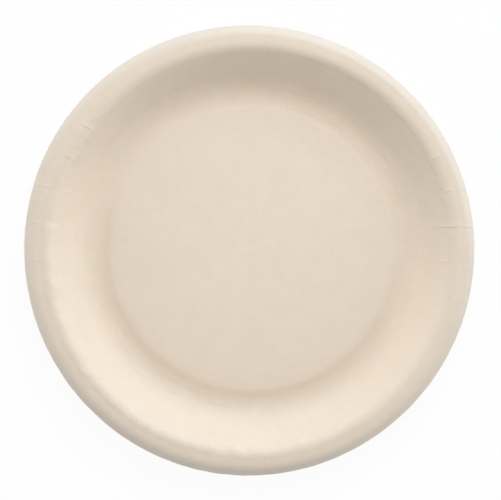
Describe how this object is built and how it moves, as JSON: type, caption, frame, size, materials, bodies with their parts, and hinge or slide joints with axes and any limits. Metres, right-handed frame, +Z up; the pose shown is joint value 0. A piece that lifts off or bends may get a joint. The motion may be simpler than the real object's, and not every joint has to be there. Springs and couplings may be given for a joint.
{
  "type": "compostable plate",
  "caption": "Round pressed paperboard plate with a crowned floor, a flared wall, a rolled rim with a turned-down lip, and creased pleats pressed flat round the rim.",
  "frame": {"origin": "centre of the circle that the plate stands on, on the underside of its standing ring", "axes": "+Z up along the plate's axis, out of its well; +X and +Y are to the right and up in the picture, which looks straight down"},
  "size_m": [0.222, 0.222, 0.0205],
  "materials": {
    "paperboard": "plain unbleached board, matt with a faint pressed sheen"
  },
  "bodies": {
    "root": {"plate": "paperboard"}
  },
  "joints": []
}
